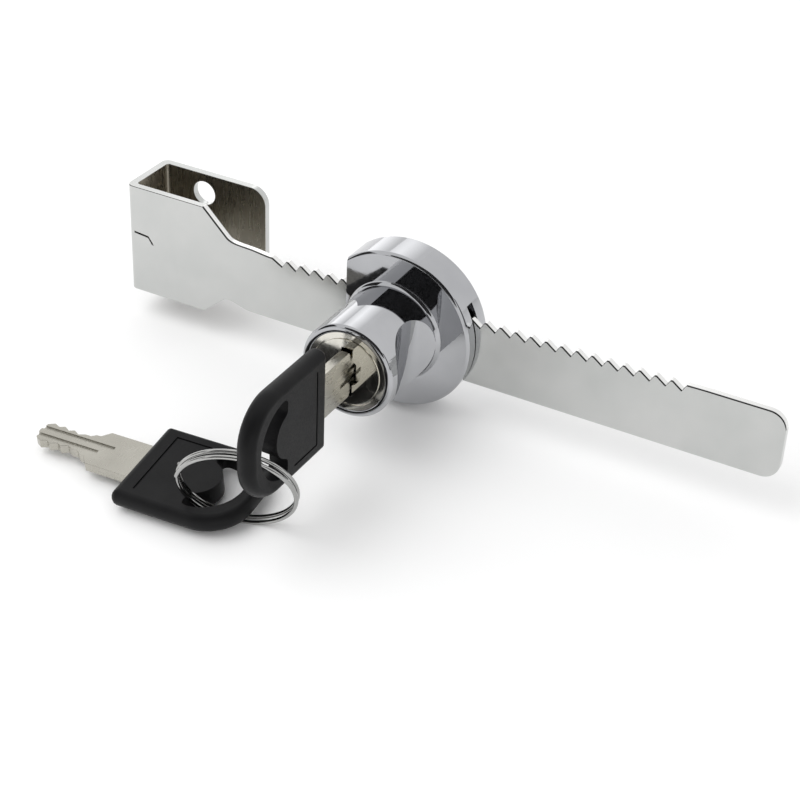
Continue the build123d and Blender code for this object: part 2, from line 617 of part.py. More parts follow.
# The key in the lock stands upright; the spare lies on the ring
key_frame = Plane(origin=(0, KEY_FRONT_Y, 0), x_dir=(0, -1, 0), z_dir=(1, 0, 0))
ring_centre = Vector(0, KEY_FRONT_Y - HOLE_OUTER_S, 0) + Vector(*RING_FROM_HOLE)
spare_axis = Vector(*SPARE_AXIS).normalized()
spare_origin = ring_centre + Vector(*SPARE_HOLE_FROM_RING) - spare_axis * HOLE_OUTER_S
spare_frame = Plane(origin=spare_origin, x_dir=spare_axis, z_dir=SPARE_NORMAL)
key_head = head_solid(key_frame)
key_blade = blade_solid(key_frame)
spare_key_head = head_solid(spare_frame)
spare_key_blade = blade_solid(spare_frame)

# Split ring: one wire wound twice
ring_axis = Vector(*RING_NORMAL).normalized()
ring_x = (Vector(1, 0, 0) - ring_axis * ring_axis.X).normalized()
ring_frame = Plane(origin=ring_centre, x_dir=ring_x, z_dir=ring_axis)
ring_foot = ring_frame.offset(-RING_STEP * RING_TURNS / 2)
with BuildPart() as split_ring:
    wire = coil_path(ring_foot, RING_R, RING_STEP, RING_TURNS, RING_START_DEG)
    with BuildSketch(Plane(origin=wire @ 0, z_dir=wire % 0)):
        RegularPolygon(RING_WIRE_R, RING_WIRE_SIDES)
    sweep(path=wire)
gap = RING_STEP - 2 * RING_WIRE_R
print("split ring: gap between turns", round(gap, 3))
print("pawl spring: gap between turns", round(spring_pitch - 2 * PSPRING_WIRE_R, 3))
print("wafer spring: gap between turns", round(wspring_pitch - 2 * WSPRING_WIRE_R, 3))

# One STEP file for each piece
pieces = {
    "ratchet_strip": ratchet_strip.part,
    "lock_body": lock_body.part,
    "rear_cover": rear_cover.part,
    "cover_screws": cover_screws.part,
    "plug": plug.part,
    "cam": cam.part,
    "cam_screw": cam_screw.part,
    "pawl": pawl.part,
    "pawl_spring": pawl_spring.part,
    "wafer_springs": wafer_springs,
    "key_head": key_head,
    "key_blade": key_blade,
    "spare_key_head": spare_key_head,
    "spare_key_blade": spare_key_blade,
    "split_ring": split_ring.part,
}
for k, piece in enumerate(wafers):
    pieces[f"wafer_{k + 1}"] = piece
for name, piece in pieces.items():
    piece.label = name
    export_step(piece, f"parts/{name}.step")
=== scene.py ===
# %% [markdown]
# # A ratchet lock for a glass cabinet door
# A toothed steel strip hooks over one pane, and a round chrome lock slides along it. This first
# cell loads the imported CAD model. Its pieces are in metres and already in place, so every new
# piece is built straight in that frame.

# %% Load the frame
from math import cos, radians, sin, sqrt

import bmesh
import bpy
from mathutils import Matrix, Quaternion, Vector


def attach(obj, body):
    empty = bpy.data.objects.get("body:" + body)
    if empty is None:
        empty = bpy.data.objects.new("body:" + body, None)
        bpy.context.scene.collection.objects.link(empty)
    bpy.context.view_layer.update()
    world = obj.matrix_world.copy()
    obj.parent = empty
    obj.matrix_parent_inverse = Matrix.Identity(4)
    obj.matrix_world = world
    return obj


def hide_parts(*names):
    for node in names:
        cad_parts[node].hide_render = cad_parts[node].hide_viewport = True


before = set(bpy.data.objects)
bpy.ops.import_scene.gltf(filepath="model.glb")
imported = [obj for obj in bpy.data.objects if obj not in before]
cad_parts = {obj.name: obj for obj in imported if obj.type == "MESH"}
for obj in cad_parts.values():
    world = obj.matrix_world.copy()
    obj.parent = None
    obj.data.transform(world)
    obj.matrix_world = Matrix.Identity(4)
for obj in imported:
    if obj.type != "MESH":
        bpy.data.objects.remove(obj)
MM = 0.001
MERGE = 0.002 * MM
SHARP = radians(32)

# %% [markdown]
# ## Shader helpers
# Metal in a product picture is mostly reflection, so its colour changes little and its roughness
# does the work. One helper starts a material, one lays noise over it, and two turn that noise into
# a value or a colour. Every pattern reads Object coordinates, in metres, so a texture scale of
# 1000 repeats about once in a millimetre.

# %% Shader helpers


def new_material(name):
    material = bpy.data.materials.new(name)
    material.use_nodes = True
    return material, material.node_tree.nodes, material.node_tree.links


def object_noise(nodes, links, stretch, scale, detail=3.0):
    """Noise on Object coordinates, stretched by a Mapping node."""
    place = nodes.new("ShaderNodeTexCoord")
    mapping = nodes.new("ShaderNodeMapping")
    mapping.inputs["Scale"].default_value = stretch
    noise = nodes.new("ShaderNodeTexNoise")
    noise.inputs["Scale"].default_value = scale
    noise.inputs["Detail"].default_value = detail
    links.new(place.outputs["Object"], mapping.inputs["Vector"])
    links.new(mapping.outputs["Vector"], noise.inputs["Vector"])
    return noise


def ramp(nodes, links, source, low, high):
    """Turns noise into values between low and high."""
    spread = nodes.new("ShaderNodeMapRange")
    spread.inputs["From Min"].default_value = 0.3
    spread.inputs["From Max"].default_value = 0.7
    spread.inputs["To Min"].default_value = low
    spread.inputs["To Max"].default_value = high
    links.new(source, spread.inputs["Value"])
    return spread.outputs["Result"]


def tint(nodes, links, source, dark, light):
    """Turns noise into a colour between dark and light."""
    colours = nodes.new("ShaderNodeValToRGB")
    colours.color_ramp.elements[0].position = 0.3
    colours.color_ramp.elements[1].position = 0.7
    colours.color_ramp.elements[0].color = (*dark, 1)
    colours.color_ramp.elements[1].color = (*light, 1)
    links.new(source, colours.inputs["Fac"])
    return colours.outputs["Color"]


# %% [markdown]
# ## Metal finishes
# This lock has eight: mirror chrome on the casting, bright steel with a faint lengthways
# grain on the strip, duller steel in its channel, with painted shade in its darker colour, satin
# nickel on the blades, polished nickel on the plug, bright wire on the ring, and zinc and brass on
# the inner parts. They differ in colour, in the stretch of the grain and in roughness, so one
# recipe makes them all. A ninth, for the strip's punched edges, is bright with a painted dark
# reflection along the front corner.

# %% Metal finishes


def metal(name, dark, light, rough, stretch, scale, bump):
    material, nodes, links = new_material(name)
    shader = nodes["Principled BSDF"]
    shader.inputs["Metallic"].default_value = 1.0
    grain = object_noise(nodes, links, stretch, scale)
    cloud = object_noise(nodes, links, (1, 1, 1), 120)
    links.new(tint(nodes, links, cloud.outputs["Fac"], dark, light), shader.inputs["Base Color"])
    links.new(ramp(nodes, links, grain.outputs["Fac"], *rough), shader.inputs["Roughness"])
    relief = nodes.new("ShaderNodeBump")
    relief.inputs["Strength"].default_value = bump
    relief.inputs["Distance"].default_value = 0.00002
    links.new(grain.outputs["Fac"], relief.inputs["Height"])
    links.new(relief.outputs["Normal"], shader.inputs["Normal"])
    return material


chrome = metal("mirror_chrome", (0.41, 0.415, 0.43), (0.46, 0.465, 0.48), (0.03, 0.06),
               (1, 1, 1), 900, 0.05)
bright_steel = metal("bright_steel", (0.52, 0.53, 0.52), (0.57, 0.575, 0.565), (0.11, 0.18),
                     (0.05, 1, 1), 5000, 0.14)
key_nickel = metal("key_nickel", (0.42, 0.405, 0.36), (0.50, 0.485, 0.435), (0.24, 0.36),
                   (1, 0.2, 1), 2500, 0.35)
plug_nickel = metal("plug_nickel", (0.68, 0.66, 0.60), (0.76, 0.74, 0.68), (0.04, 0.09),
                    (1, 1, 1), 900, 0.06)
zinc = metal("zinc_plate", (0.58, 0.59, 0.60), (0.68, 0.69, 0.72), (0.25, 0.40),
             (1, 1, 1), 1500, 0.30)
# Steel for the channel faces: its darker, browner colour is painted shade for the hook's channel.
channel_steel_painted_shade = metal("channel_steel_painted_shade", (0.36, 0.33, 0.275), (0.43, 0.395, 0.335), (0.24, 0.32),
                  (1, 1, 0.15), 1500, 0.12)
wire_finish = metal("bright_wire", (0.36, 0.36, 0.355), (0.46, 0.46, 0.45), (0.06, 0.12),
                    (1, 1, 1), 1500, 0.10)
brass = metal("stamped_brass", (0.66, 0.50, 0.24), (0.78, 0.62, 0.34), (0.22, 0.36),
              (1, 1, 1), 1800, 0.25)


def painted_reflection_edge_material(name, dark, light, line_y, blur):
    """Bright metal that is dark in front of line_y: a painted dark reflection along the front
    corner.
    """
    material, nodes, links = new_material(name)
    shader = nodes["Principled BSDF"]
    shader.inputs["Metallic"].default_value = 1.0
    shader.inputs["Roughness"].default_value = 0.2
    place = nodes.new("ShaderNodeTexCoord")
    split = nodes.new("ShaderNodeSeparateXYZ")
    depth = nodes.new("ShaderNodeMapRange")
    depth.inputs["From Min"].default_value = line_y - blur
    depth.inputs["From Max"].default_value = line_y + blur
    links.new(place.outputs["Object"], split.inputs["Vector"])
    links.new(split.outputs["Y"], depth.inputs["Value"])
    links.new(tint(nodes, links, depth.outputs["Result"], dark, light),
              shader.inputs["Base Color"])
    return material


# The dark band in front of the line is a painted reflection; the rest is plain bright metal.
edge_with_painted_reflection = painted_reflection_edge_material("edge_with_painted_reflection", (0.03, 0.03, 0.03), (0.80, 0.80, 0.79),
                                     -4.0 * MM, 0.08 * MM)
print("metal finishes:", 9)

# %% [markdown]
# ## Moulded black plastic
# The key heads are matte black with the fine spark texture of a mould. A small bump breaks the
# highlight up, which is what makes plastic look moulded and not painted.

# %% Black plastic


def moulded_plastic(name):
    material, nodes, links = new_material(name)
    shader = nodes["Principled BSDF"]
    shader.inputs["Specular IOR Level"].default_value = 0.13
    spark = object_noise(nodes, links, (1, 1, 1), 3500, 4.0)
    cloud = object_noise(nodes, links, (1, 1, 1), 150)
    colour = tint(nodes, links, cloud.outputs["Fac"], (0.006, 0.006, 0.0065),
                  (0.011, 0.011, 0.0115))
    links.new(colour, shader.inputs["Base Color"])
    links.new(ramp(nodes, links, spark.outputs["Fac"], 0.34, 0.48), shader.inputs["Roughness"])
    relief = nodes.new("ShaderNodeBump")
    relief.inputs["Strength"].default_value = 0.35
    relief.inputs["Distance"].default_value = 0.00004
    links.new(spark.outputs["Fac"], relief.inputs["Height"])
    links.new(relief.outputs["Normal"], shader.inputs["Normal"])
    return material


black_plastic = moulded_plastic("black_moulding")
print("plastic:", black_plastic.name)

# %% [markdown]
# ## Finishes on the inner pieces
# Most of these pieces are hidden inside, but they show when the lock is taken apart, so each one
# gets its own finish too. The CAD meshes stay as they are.

# %% Inner pieces
inner_finish = {
    "rear_cover": zinc, "cover_screws": zinc, "cam": zinc, "cam_screw": zinc, "pawl": zinc,
    "pawl_spring": wire_finish, "wafer_springs": wire_finish,
    "wafer_1": brass, "wafer_2": brass, "wafer_3": brass, "wafer_4": brass, "wafer_5": brass,
}
for name, finish in inner_finish.items():
    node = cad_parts[name]
    node.data.materials.clear()
    node.data.materials.append(finish)
    node.data.shade_smooth()
    node.data.set_sharp_from_angle(angle=radians(30))
print("inner pieces:", len(inner_finish))

# %% [markdown]
# ## Softened edges
# No real edge is razor sharp: a stamped strip, a plug or a blade has a small round on every edge,
# and that round catches the light as a thin bright line. A CAD solid has none, so each such piece
# is a merged copy of its CAD mesh with its sharp edges bevelled. A Weighted Normal modifier keeps
# the big flat faces flat in the reflections, right up to the rounded edge.

# %% Softened copies of the flat pieces


def show(mesh, name, body, finish, replaced):
    """Puts a finished mesh into the scene in a CAD node's place."""
    mesh.materials.append(finish)
    mesh.shade_smooth()
    mesh.set_sharp_from_angle(angle=radians(38))
    piece = bpy.data.objects.new(name, mesh)
    bpy.context.scene.collection.objects.link(piece)
    flat_faces = piece.modifiers.new("flat_faces", "WEIGHTED_NORMAL")
    flat_faces.keep_sharp = True
    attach(piece, body)
    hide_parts(replaced)
    print(name, len(mesh.polygons), "faces")
    return piece


def face_width(face):
    """About the short side of a long face."""
    return 2 * face.calc_area() / face.calc_perimeter()


def sharp_edges(bm, angle):
    """The edges whose two faces meet at more than the angle."""
    return [e for e in bm.edges if len(e.link_faces) == 2 and e.calc_face_angle() > angle]


def round_edges(bm, edges, width, segments):
    bmesh.ops.bevel(bm, geom=edges, affect="EDGES", offset=width, offset_type="OFFSET",
                    segments=segments, profile=0.5, material=-1, clamp_overlap=True)


def finished(bm, name):
    """A mesh made from a bmesh, which it frees."""
    mesh = bpy.data.meshes.new(name)
    bm.to_mesh(mesh)
    bm.free()
    return mesh


def softened(node, width, segments):
    """A merged copy of a CAD node's mesh with its sharp edges rounded."""
    bm = bmesh.new()
    bm.from_mesh(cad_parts[node].data)
    bmesh.ops.remove_doubles(bm, verts=bm.verts, dist=MERGE)
    bmesh.ops.dissolve_limit(bm, angle_limit=radians(0.6), verts=bm.verts, edges=bm.edges)
    bmesh.ops.recalc_face_normals(bm, faces=bm.faces)
    round_edges(bm, sharp_edges(bm, SHARP), width, segments)
    return finished(bm, node + "_softened")


show(softened("plug", 0.06 * MM, 2), "nickel_plug", "plug", plug_nickel, "plug")
for node, rider in (("key_blade", "key_1"), ("spare_key_blade", "spare_key")):
    show(softened(node, 0.08 * MM, 2), node + "_bright", rider, key_nickel, node)

# %% [markdown]
# ## Strip with a dull channel in painted shade
# Outside, the folded strip is polished. The faces that look into the hook's channel get a second,
# rougher material whose darker, browner colour is painted shade. The upper edges that the punch
# cut, with the teeth, get a third, with a painted dark reflection along their front corner.

# %% Strip
strip = show(softened("ratchet_strip", 0.32 * MM, 4), "toothed_strip", "ratchet",
             bright_steel, "ratchet_strip")
# Material 1 paints shade on the channel faces, material 2 a dark reflection on the punched edges.
strip.data.materials.append(channel_steel_painted_shade)
strip.data.materials.append(edge_with_painted_reflection)
CHANNEL_FRONT_Y, CHANNEL_REAR_Y, CHANNEL_END_X = -2.95 * MM, 7.65 * MM, -36 * MM
FRONT_REACH, REAR_REACH, WEB_X = 0.8 * MM, 0.3 * MM, -58 * MM
FACING = 0.5
inside = 0
# Faces that look into the channel get the painted shade.
for face in strip.data.polygons:
    at, normal = face.center, face.normal
    in_channel = CHANNEL_FRONT_Y < at.y < CHANNEL_REAR_Y and at.x < CHANNEL_END_X
    from_rear = at.y > CHANNEL_REAR_Y - REAR_REACH and normal.y < -FACING
    from_front = at.y < CHANNEL_FRONT_Y + FRONT_REACH and normal.y > FACING
    from_web = at.x < WEB_X and normal.x > FACING
    if in_channel and abs(normal.z) < FACING and (from_rear or from_front or from_web):
        face.material_index = 1
        inside += 1
# The upward-facing punched edges get the material with the painted dark reflection.
EDGE_REAR_Y, EDGE_LOW_Z = -2.6 * MM, 2.5 * MM
LEAST_UP, MOST_FORWARD = 0.15, 0.93
punched = 0
for face in strip.data.polygons:
    at, normal = face.center, face.normal
    looks_up = normal.z > LEAST_UP and abs(normal.y) < MOST_FORWARD
    if looks_up and at.y < EDGE_REAR_Y and at.z > EDGE_LOW_Z:
        face.material_index = 2
        punched += 1
print("faces inside the channel:", inside, "punched edge:", punched)

# %% [markdown]
# ## Chrome body, turned and cut
# Chrome shows every facet, so the casting isn't a copy of the CAD mesh. Its outline is spun in
# 160 steps about the barrel's axis, as on a lathe, and cutters then take out the flat on the hook's
# side, the two finger scallops, the slot for the strip, the cam's room, the pawl's pocket, the
# recess for the rear cover and the grooves for the wafers. A Boolean modifier makes each cut, and
# the result is kept as a mesh.

# %% Turned outline
FLANGE_R, FLANGE_Y, FLANGE_CHAMFER = 15.75, -7.1, 0.5
BARREL_R, BARREL_Y, BASE_CHAMFER, RIM_CHAMFER = 9.25, -24.1, 0.6, 0.45
SEAT_R, SEAT_Y, BORE_R, BORE_Y, TAIL_R = 7.85, -21.9, 5.05, -8.6, 3.35
OUTLINE = ((TAIL_R, 0.0), (FLANGE_R, 0.0), (FLANGE_R, FLANGE_Y + FLANGE_CHAMFER),
           (FLANGE_R - FLANGE_CHAMFER, FLANGE_Y), (BARREL_R + BASE_CHAMFER, FLANGE_Y),
           (BARREL_R, FLANGE_Y - BASE_CHAMFER), (BARREL_R, BARREL_Y + RIM_CHAMFER),
           (BARREL_R - RIM_CHAMFER, BARREL_Y), (SEAT_R, BARREL_Y), (SEAT_R, SEAT_Y),
           (BORE_R, SEAT_Y), (BORE_R, BORE_Y), (TAIL_R, BORE_Y))
TURNING_STEPS = 160
TURNED_ROUND, CUT_ROUND = 0.16 * MM, 0.07 * MM


def linked(mesh_name, bm):
    """A scene object from a bmesh, with no material yet."""
    bmesh.ops.recalc_face_normals(bm, faces=bm.faces)
    made = bpy.data.objects.new(mesh_name, finished(bm, mesh_name))
    bpy.context.scene.collection.objects.link(made)
    return made


bm = bmesh.new()
corners = [bm.verts.new((r * MM, y * MM, 0)) for r, y in OUTLINE]
loop = [bm.edges.new((a, b)) for a, b in zip(corners, corners[1:] + corners[:1])]
bmesh.ops.spin(bm, geom=corners + loop, cent=(0, 0, 0), axis=(0, 1, 0), angle=radians(360),
               steps=TURNING_STEPS, use_merge=True)
bmesh.ops.remove_doubles(bm, verts=bm.verts, dist=MERGE)
round_edges(bm, sharp_edges(bm, SHARP), TURNED_ROUND, 3)
casting = linked("casting", bm)
print("turned casting:", len(casting.data.polygons), "faces")

# %% Cutters
SCALLOP_R, SCALLOP_X, SCALLOP_Y = 9.5 * MM, 15.5 * MM, -14.9 * MM
SCALLOP_LIMIT_Y, SCALLOP_SIDES = -7.2 * MM, 192
SLOT_LOW, SLOT_HIGH = (-20, -4.6, -8.0), (20, -2.7, 8.0)
POCKET_LOW, POCKET_HIGH = (-3.35, -6.6, 0), (3.35, -2.7, 13.6)
FLAT_LOW, FLAT_HIGH = (-20, -9.0, -20), (-10, 2.0, 20)
CAM_ROOM_R, CAM_ROOM_Y = 6.6 * MM, (-6.6 * MM, -4.5 * MM)
RECESS_R, RECESS_Y, RECESS_FLAT = 14.3 * MM, (-1.0 * MM, 1.0 * MM), 8.55 * MM
GROOVE_R, GROOVE_Y, GROOVE_HALF_W = 5.5 * MM, (-21.7 * MM, -11.2 * MM), 2.6 * MM


def cut_out(blank, tools):
    """Cuts each tool out of the blank, and gives the result as a bmesh."""
    for tool in tools:
        cut = blank.modifiers.new(tool.name, "BOOLEAN")
        cut.object = tool
        cut.solver = "EXACT"
    bpy.context.view_layer.update()
    evaluated = blank.evaluated_get(bpy.context.evaluated_depsgraph_get())
    bm = bmesh.new()
    bm.from_mesh(evaluated.to_mesh())
    evaluated.to_mesh_clear()
    for made in tools + [blank]:
        bpy.data.objects.remove(made)
    bmesh.ops.remove_doubles(bm, verts=bm.verts, dist=MERGE)
    return bm


def cut_off(bm, at, normal):
    """Takes away what lies past a plane, and closes the cut with a face."""
    cut = bmesh.ops.bisect_plane(bm, geom=bm.verts[:] + bm.edges[:] + bm.faces[:],
                                 plane_co=at, plane_no=normal, clear_outer=True)
    rim = [g for g in cut["geom_cut"] if isinstance(g, bmesh.types.BMEdge)]
    bmesh.ops.contextual_create(bm, geom=rim)


def box_cutter(name, low, high):
    """A box between two corners in millimetres."""
    bm = bmesh.new()
    size = [(b - a) * MM for a, b in zip(low, high)]
    middle = [(a + b) / 2 * MM for a, b in zip(low, high)]
    bmesh.ops.create_cube(bm, size=1.0)
    bmesh.ops.scale(bm, vec=size, verts=bm.verts)
    bmesh.ops.translate(bm, vec=middle, verts=bm.verts)
    return linked(name, bm)


def scallop_cutter(side):
    """An upright round tool beside the barrel, which stops short of the flange."""
    bm = bmesh.new()
    bmesh.ops.create_cone(bm, cap_ends=True, segments=SCALLOP_SIDES, radius1=SCALLOP_R,
                          radius2=SCALLOP_R, depth=40 * MM)
    bmesh.ops.translate(bm, vec=(side * SCALLOP_X, SCALLOP_Y, 0), verts=bm.verts)
    cut_off(bm, (0, SCALLOP_LIMIT_Y, 0), (0, 1, 0))
    return linked("scallop_cutter", bm)


def round_cutter(name, radius, span, reach=0, flats=()):
    """A disc about the barrel's axis, cut off at reach in the direction of each flat."""
    bm = bmesh.new()
    bmesh.ops.create_cone(bm, cap_ends=True, segments=TURNING_STEPS, radius1=radius,
                          radius2=radius, depth=span[1] - span[0])
    bmesh.ops.transform(bm, matrix=Matrix.Rotation(radians(90), 4, "X"), verts=bm.verts)
    bmesh.ops.translate(bm, vec=(0, sum(span) / 2, 0), verts=bm.verts)
    for normal in flats:
        cut_off(bm, Vector(normal) * reach, normal)
    return linked(name, bm)


cutters = [box_cutter("flat_cutter", FLAT_LOW, FLAT_HIGH), scallop_cutter(1), scallop_cutter(-1),
           box_cutter("slot_cutter", SLOT_LOW, SLOT_HIGH),
           box_cutter("pocket_cutter", POCKET_LOW, POCKET_HIGH),
           round_cutter("cam_room_cutter", CAM_ROOM_R, CAM_ROOM_Y),
           round_cutter("recess_cutter", RECESS_R, RECESS_Y, RECESS_FLAT, [(-1, 0, 0)]),
           round_cutter("upright_grooves", GROOVE_R, GROOVE_Y, GROOVE_HALF_W,
                        [(1, 0, 0), (-1, 0, 0)]),
           round_cutter("level_grooves", GROOVE_R, GROOVE_Y, GROOVE_HALF_W,
                        [(0, 0, 1), (0, 0, -1)])]
bm = cut_out(casting, cutters)
round_edges(bm, sharp_edges(bm, SHARP), CUT_ROUND, 2)
show(finished(bm, "chrome_body"), "chrome_body", "lock", chrome, "lock_body")

# %% [markdown]
# ## Split ring
# A split ring is one wire wound twice. A spin with a small push along its axis at every step
# makes exactly that: the little circle travels round twice and climbs as it goes.

# %% Split ring
RING_C = Vector((-5.968, -50.592, -11.176)) * MM
RING_NORMAL = Vector((0.3102, -0.878, -0.3628)).normalized()
RING_R, WIRE_R, RING_STEP, RING_START = 10.48 * MM, 0.4 * MM, 1.24 * MM, radians(155.4)
STEPS_A_TURN = 90
across = (Vector((1, 0, 0)) - RING_NORMAL * RING_NORMAL.x).normalized()
up = RING_NORMAL.cross(across)
spoke = (Matrix.Rotation(RING_START, 3, RING_NORMAL) @ across).normalized()
along = RING_NORMAL.cross(spoke)
start = RING_C - RING_NORMAL * RING_STEP + spoke * RING_R
place = Matrix((spoke, RING_NORMAL, along)).transposed().to_4x4()
place.translation = start
bm = bmesh.new()
bmesh.ops.create_circle(bm, segments=16, radius=WIRE_R)
bmesh.ops.transform(bm, matrix=place, verts=bm.verts)
bmesh.ops.spin(bm, geom=bm.verts[:] + bm.edges[:], cent=RING_C, axis=RING_NORMAL,
               dvec=RING_NORMAL * (RING_STEP / STEPS_A_TURN), angle=radians(720),
               steps=2 * STEPS_A_TURN, use_merge=False)
bmesh.ops.holes_fill(bm, edges=[e for e in bm.edges if e.is_boundary], sides=0)
bmesh.ops.recalc_face_normals(bm, faces=bm.faces)
ring = show(finished(bm, "ring_wire"), "wound_ring", "ring", wire_finish,
            "split_ring")

# %% [markdown]
# ## Key heads
# The moulded heads have a full round rim. Each is built as a stack of outlines, from one face to
# the other, where each outline lies a little further in, as on an ellipse. Cutters then take out
# the crescent hole, with its round ends, and the fine line on both faces.

# %% Key heads
HEAD_L, HEAD_HALF_W, HEAD_HALF_T = 24.4, 10.2, 1.85
NEAR_R, FAR_R, RIM_W = 1.2, 8.5, 1.5
HOLE_S, HOLE_R, TONGUE_S, TONGUE_R, HOLE_START_S = 14.0, 7.6, 12.2, 4.6, 13.2
LINE_S, LINE_W, LINE_REACH, LINE_TURN, LINE_DEPTH = 3.5, 0.4, 7.6, 7.5, 0.25
OUTER_SWEEP, TONGUE_SWEEP, HOLE_BEND = 86, 64, 1.0
ARC_STEPS, OUTER_STEPS, TONGUE_STEPS, BEND_STEPS, RIM_STEPS = 16, 32, 24, 6, 12
LEAST_R, OVERRUN = 0.05, 1.0
HOLE_ROUND, HOLE_SHARP, LINE_SIDE = 0.2 * MM, radians(60), 0.3 * MM


def arc(centre, radius, first, last, steps=ARC_STEPS):
    """Points on an arc, with the angles in degrees."""
    turns = [radians(first + (last - first) * k / steps) for k in range(steps + 1)]
    return [(centre[0] + radius * cos(a), centre[1] + radius * sin(a)) for a in turns]


def bend(before, corner, after):
    """Points of a soft corner between two points."""
    shares = [k / BEND_STEPS for k in range(1, BEND_STEPS)]
    return [tuple((1 - t) ** 2 * before[i] + 2 * t * (1 - t) * corner[i] + t * t * after[i]
                  for i in (0, 1)) for t in shares]


def head_outline(inset):
    """Outline of a head at an inset, always with the same number of points."""
    near = max(NEAR_R - inset, LEAST_R)
    side = HEAD_HALF_W - inset
    far_y = HEAD_HALF_W - FAR_R
    return (arc((HEAD_L - FAR_R, far_y), FAR_R - inset, 0, 90)
            + arc((inset + near, side - near), near, 90, 180)
            + arc((inset + near, near - side), near, 180, 270)
            + arc((HEAD_L - FAR_R, -far_y), FAR_R - inset, 270, 360))


def crescent():
    """Outline of the crescent hole, with soft corners."""
    outer_end = sqrt(HOLE_R ** 2 - (HOLE_S - HOLE_START_S) ** 2)
    tongue_end = sqrt(TONGUE_R ** 2 - (HOLE_START_S - TONGUE_S) ** 2)
    outer = arc((HOLE_S, 0), HOLE_R, -OUTER_SWEEP, OUTER_SWEEP, OUTER_STEPS)
    tongue = arc((TONGUE_S, 0), TONGUE_R, TONGUE_SWEEP, -TONGUE_SWEEP, TONGUE_STEPS)
    top_start = (HOLE_START_S, outer_end - HOLE_BEND)
    top_end = (HOLE_START_S, tongue_end + HOLE_BEND)
    low_start = (HOLE_START_S, -tongue_end - HOLE_BEND)
    low_end = (HOLE_START_S, HOLE_BEND - outer_end)
    points = outer + bend(outer[-1], (HOLE_START_S, outer_end), top_start) + [top_start, top_end]
    points += bend(top_end, (HOLE_START_S, tongue_end), tongue[0]) + tongue
    points += bend(tongue[-1], (HOLE_START_S, -tongue_end), low_start) + [low_start, low_end]
    return points + bend(low_end, (HOLE_START_S, -outer_end), outer[0])


def head_blank(place):
    """A head without its hole: outlines stacked from face to face."""
    bm = bmesh.new()
    rings = []
    for k in range(RIM_STEPS + 1):
        tilt = radians(180 * k / RIM_STEPS - 90)
        height = HEAD_HALF_T * sin(tilt)
        level = head_outline(RIM_W * (1 - cos(tilt)))
        rings.append([bm.verts.new(place @ Vector((x, y, height))) for x, y in level])
    for low, high in zip(rings, rings[1:]):
        for k in range(len(low)):
            bm.faces.new((low[k - 1], low[k], high[k], high[k - 1]))
    bm.faces.new(rings[0])
    bm.faces.new(rings[-1])
    return linked("head_blank", bm)


def prism_cutter(name, place, points, low, high):
    """A cutter with the given outline, from height low to high above the head's middle."""
    bm = bmesh.new()
    bottom = bm.faces.new([bm.verts.new(place @ Vector((x, y, low))) for x, y in points])
    raised = bmesh.ops.extrude_face_region(bm, geom=[bottom])
    tops = [v for v in raised["geom"] if isinstance(v, bmesh.types.BMVert)]
    push = place.to_3x3() @ Vector((0, 0, high - low))
    bmesh.ops.translate(bm, vec=push, verts=tops)
    return linked(name, bm)


def line_outline():
    """Outline of the engraved line: across the head and a turn at one end."""
    near, far, end = LINE_S, LINE_S + LINE_W, LINE_S + LINE_TURN
    return [(near, -LINE_REACH), (far, -LINE_REACH), (far, LINE_REACH - LINE_W),
            (end, LINE_REACH - LINE_W), (end, LINE_REACH), (near, LINE_REACH)]


def head_mesh(name, origin, along, normal):
    """One finished head mesh on its plane."""
    side = normal.cross(along)
    place = Matrix((along, side, normal)).transposed().to_4x4()
    place = Matrix.Translation(origin * MM) @ place @ Matrix.Scale(MM, 4)
    top, over = HEAD_HALF_T, HEAD_HALF_T + OVERRUN
    tools = [prism_cutter("crescent_cutter", place, crescent(), -over, over),
             prism_cutter("top_line", place, line_outline(), top - LINE_DEPTH, over),
             prism_cutter("low_line", place, line_outline(), -over, LINE_DEPTH - top)]
    bm = cut_out(head_blank(place), tools)
    rims = [e for e in sharp_edges(bm, HOLE_SHARP)
            if min(face_width(f) for f in e.link_faces) > LINE_SIDE]
    round_edges(bm, rims, HOLE_ROUND, 3)
    return finished(bm, name)


SPARE_ALONG = Vector((0.9988, 0.0488, 0.0109)).normalized()
SPARE_NORMAL = Vector((-0.005, -0.126, 0.992))
SPARE_NORMAL = (SPARE_NORMAL - SPARE_ALONG * SPARE_NORMAL.dot(SPARE_ALONG)).normalized()
SPARE_ORIGIN = RING_C / MM + Vector((-9.840, 5.246, -6.681)) - SPARE_ALONG * HOLE_S
heads = {"key_head": (Vector((0, -33.5, 0)), Vector((0, -1, 0)), Vector((1, 0, 0)), "key_1"),
         "spare_key_head": (SPARE_ORIGIN, SPARE_ALONG, SPARE_NORMAL, "spare_key")}
for node, (origin, along, normal, rider) in heads.items():
    moulded = show(head_mesh(node + "_moulded", origin, along, normal), node + "_moulded", rider,
                   black_plastic, node)

# %% [markdown]
# ## Floor
# The photo's table is pure white with a soft shadow. A big white plane gives both: its colour is
# almost white, and the light is set so that it just reaches white where nothing shades it. It
# falls a little towards the camera, because the lock leans on its flange and the spare key.

# %% Floor
FLOOR_Z, FLOOR_HALF_W = -16.4 * MM, 9.0
FLOOR_TILT = 0.10


def floor_material():
    material, nodes, links = new_material("white_table")
    shader = nodes["Principled BSDF"]
    shader.inputs["Roughness"].default_value = 0.7
    shader.inputs["Specular IOR Level"].default_value = 0.1
    cloud = object_noise(nodes, links, (1, 1, 1), 6)
    colour = tint(nodes, links, cloud.outputs["Fac"], (0.94, 0.94, 0.94), (0.96, 0.96, 0.96))
    links.new(colour, shader.inputs["Base Color"])
    return material


